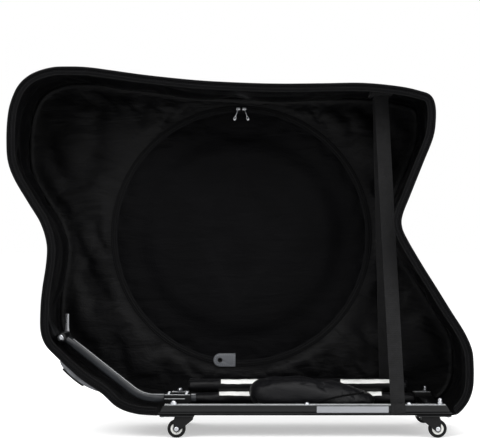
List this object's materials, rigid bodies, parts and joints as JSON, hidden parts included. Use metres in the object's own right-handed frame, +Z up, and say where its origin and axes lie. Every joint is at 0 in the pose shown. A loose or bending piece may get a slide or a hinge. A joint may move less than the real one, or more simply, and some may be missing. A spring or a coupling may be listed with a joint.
{
  "type": "soft bike travel bag",
  "caption": "Soft-sided bike travel bag with an open padded shell on a wheeled rail frame, with fork support, hold-down strap and zipped wheel pocket.",
  "frame": {"origin": "on the floor under the middle of the bag's bounding box", "axes": "+X to the bag's rear (longest), +Y from the open side to the closed side wall (shortest), +Z up"},
  "size_m": [1.17, 0.308, 0.932],
  "materials": {
    "lining": "black nylon lining over thin foam",
    "pocket": "charcoal nylon",
    "webbing": "black ribbed webbing",
    "grey_webbing": "grey webbing",
    "padding": "black padded nylon",
    "black_paint": "satin black paint",
    "grey_paint": "dark grey paint",
    "steel": "bright plated steel",
    "satin_plate": "satin silver, blank",
    "black_plastic": "moulded black nylon",
    "white_plastic": "white wheel core",
    "rubber": "black tread"
  },
  "bodies": {
    "bag": {"side_panel": "lining", "roof_gusset": "lining", "front_gusset": "lining", "rear_gusset": "lining", "base_panel": "lining", "rim_piping": "webbing", "rim_zip_tape": "webbing", "pocket_zip": "webbing", "strap_anchor": "webbing", "strap_loop": "webbing", "strap_near": "webbing", "strap_far": "webbing", "near_rail": "black_paint", "far_rail": "black_paint", "front_cross_bar": "black_paint", "rear_cross_bar": "black_paint", "rail_bolt_front": "black_paint", "rail_bolt_rear": "black_paint", "near_cap_nut": "black_paint", "far_cap_nut": "black_paint", "near_tall_nut": "black_paint", "far_tall_nut": "black_paint", "fork_mount_head": "black_paint", "rail_plate": "satin_plate", "wheel_pocket_panel": "pocket", "fork_arm": "grey_paint", "arm_clamp": "black_plastic", "fork_skewer": "steel", "grab_handle": "grey_webbing", "drivetrain_pad": "padding", "down_tube_sleeve": "padding", "front_fork_sleeve": "padding", "top_tube_sleeve": "padding", "seat_stay_sleeve": "padding", "front_near_caster_plate": "black_paint", "front_far_caster_plate": "black_paint", "rear_near_caster_plate": "black_paint", "rear_far_caster_plate": "black_paint"},
    "front_near_swivel": {"front_near_caster_fork": "black_plastic", "front_near_caster_axle": "steel"},
    "front_near_wheel": {"front_near_caster_tyre": "rubber", "front_near_caster_hub": "white_plastic"},
    "front_far_swivel": {"front_far_caster_fork": "black_plastic", "front_far_caster_axle": "steel"},
    "front_far_wheel": {"front_far_caster_tyre": "rubber", "front_far_caster_hub": "white_plastic"},
    "rear_near_swivel": {"rear_near_caster_fork": "black_plastic", "rear_near_caster_axle": "steel"},
    "rear_near_wheel": {"rear_near_caster_tyre": "rubber", "rear_near_caster_hub": "white_plastic"},
    "rear_far_swivel": {"rear_far_caster_fork": "black_plastic", "rear_far_caster_axle": "steel"},
    "rear_far_wheel": {"rear_far_caster_tyre": "rubber", "rear_far_caster_hub": "white_plastic"},
    "pocket_slider_front_body": {"pocket_slider_front": "steel"},
    "pocket_pull_front_body": {"pocket_pull_front": "steel"},
    "pocket_slider_rear_body": {"pocket_slider_rear": "steel"},
    "pocket_pull_rear_body": {"pocket_pull_rear": "steel"},
    "pocket_tab_body": {"pocket_tab": "grey_webbing"},
    "skewer_lever_body": {"skewer_lever": "steel"}
  },
  "joints": [
    {"name": "front_near_swivel_turn", "type": "hinge", "parent": "bag", "child": "front_near_swivel", "pos_m": [-0.13996, -0.13, 0.0544], "axis": [0, 0, 1], "continuous": true},
    {"name": "front_near_wheel_spin", "type": "hinge", "parent": "front_near_swivel", "child": "front_near_wheel", "pos_m": [-0.15996, -0.13, 0.023], "axis": [0, 1, 0], "continuous": true},
    {"name": "front_far_swivel_turn", "type": "hinge", "parent": "bag", "child": "front_far_swivel", "pos_m": [-0.13996, 0.13, 0.0544], "axis": [0, 0, 1], "continuous": true},
    {"name": "front_far_wheel_spin", "type": "hinge", "parent": "front_far_swivel", "child": "front_far_wheel", "pos_m": [-0.15996, 0.13, 0.023], "axis": [0, 1, 0], "continuous": true},
    {"name": "rear_near_swivel_turn", "type": "hinge", "parent": "bag", "child": "rear_near_swivel", "pos_m": [0.47699, -0.13, 0.0544], "axis": [0, 0, 1], "continuous": true},
    {"name": "rear_near_wheel_spin", "type": "hinge", "parent": "rear_near_swivel", "child": "rear_near_wheel", "pos_m": [0.49699, -0.13, 0.023], "axis": [0, 1, 0], "continuous": true},
    {"name": "rear_far_swivel_turn", "type": "hinge", "parent": "bag", "child": "rear_far_swivel", "pos_m": [0.47699, 0.13, 0.0544], "axis": [0, 0, 1], "continuous": true},
    {"name": "rear_far_wheel_spin", "type": "hinge", "parent": "rear_far_swivel", "child": "rear_far_wheel", "pos_m": [0.49699, 0.13, 0.023], "axis": [0, 1, 0], "continuous": true},
    {"name": "pocket_slider_front_travel", "type": "hinge", "parent": "bag", "child": "pocket_slider_front_body", "pos_m": [0, 0.1432, 0.509], "axis": [0, -1, 0], "range_deg": [0, 150]},
    {"name": "pocket_pull_front_swing", "type": "hinge", "parent": "pocket_slider_front_body", "child": "pocket_pull_front_body", "pos_m": [-0.0085, 0.1401, 0.8572], "axis": [-0.9478, 0, 0.319], "range_deg": [0, 150]},
    {"name": "pocket_slider_rear_travel", "type": "hinge", "parent": "bag", "child": "pocket_slider_rear_body", "pos_m": [0, 0.1432, 0.509], "axis": [0, 1, 0], "range_deg": [0, 150]},
    {"name": "pocket_pull_rear_swing", "type": "hinge", "parent": "pocket_slider_rear_body", "child": "pocket_pull_rear_body", "pos_m": [0.0085, 0.1401, 0.8572], "axis": [-0.9478, 0, -0.319], "range_deg": [0, 150]},
    {"name": "pocket_tab_lift", "type": "hinge", "parent": "bag", "child": "pocket_tab_body", "pos_m": [-0.016, 0.144, 0.17], "axis": [0, 0, 1], "range_deg": [0, 140]},
    {"name": "skewer_lever_open", "type": "hinge", "parent": "bag", "child": "skewer_lever_body", "pos_m": [-0.46449, 0.0663, 0.24504], "axis": [-1, 0, 0], "range_deg": [0, 100]}
  ]
}
